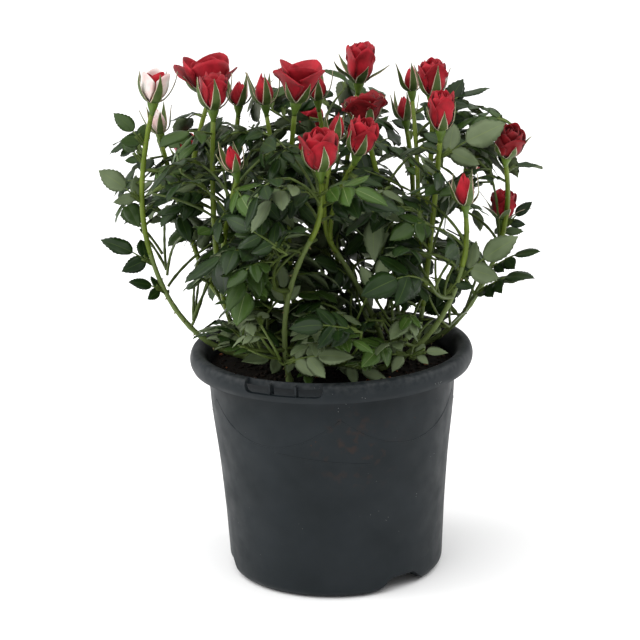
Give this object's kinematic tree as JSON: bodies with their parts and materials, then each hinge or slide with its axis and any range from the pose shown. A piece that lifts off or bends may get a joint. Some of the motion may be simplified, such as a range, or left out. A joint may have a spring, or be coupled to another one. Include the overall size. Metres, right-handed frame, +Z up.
{
  "type": "potted rose bush",
  "caption": "Miniature rose bush with red blooms, buds and compound leaves on slender canes, growing in a round plastic nursery pot with a rolled rim and drainage arches.",
  "frame": {"origin": "middle of the pot's flat underside", "axes": "+Z up; the front of the bush, towards which its lowest bloom leans, faces -Y"},
  "size_m": [0.3571, 0.3227, 0.4215],
  "materials": {
    "pot_plastic": "matt dark slate grey moulded polypropylene",
    "compost": "near-black peaty compost with small chips",
    "cane_bark": "green young bark with small prickles",
    "foliage": "dark green leaves with red blooms"
  },
  "bodies": {
    "root": {"cane_back": "cane_bark", "cane_back_left": "cane_bark", "cane_back_middle": "cane_bark", "cane_back_right": "cane_bark", "cane_centre": "cane_bark", "cane_centre_front": "cane_bark", "cane_centre_left": "cane_bark", "cane_centre_middle": "cane_bark", "cane_front_left": "cane_bark", "cane_left": "cane_bark", "cane_left_back": "cane_bark", "cane_right": "cane_bark", "cane_right_back": "cane_bark", "cane_right_front": "cane_bark", "cane_right_middle": "cane_bark", "foliage_back": "foliage", "foliage_back_left": "foliage", "foliage_back_middle": "foliage", "foliage_back_right": "foliage", "foliage_centre": "foliage", "foliage_centre_front": "foliage", "foliage_centre_left": "foliage", "foliage_centre_middle": "foliage", "foliage_front_left": "foliage", "foliage_left": "foliage", "foliage_left_back": "foliage", "foliage_low_back": "foliage", "foliage_low_back_left": "foliage", "foliage_low_front": "foliage", "foliage_low_front_left": "foliage", "foliage_low_front_right": "foliage", "foliage_low_left": "foliage", "foliage_low_left_back": "foliage", "foliage_low_middle": "foliage", "foliage_low_right": "foliage", "foliage_middle_front": "foliage", "foliage_middle_right": "foliage", "foliage_right": "foliage", "foliage_right_back": "foliage", "foliage_right_front": "foliage", "foliage_right_middle": "foliage", "pot": "pot_plastic", "soil": "compost"}
  },
  "joints": []
}
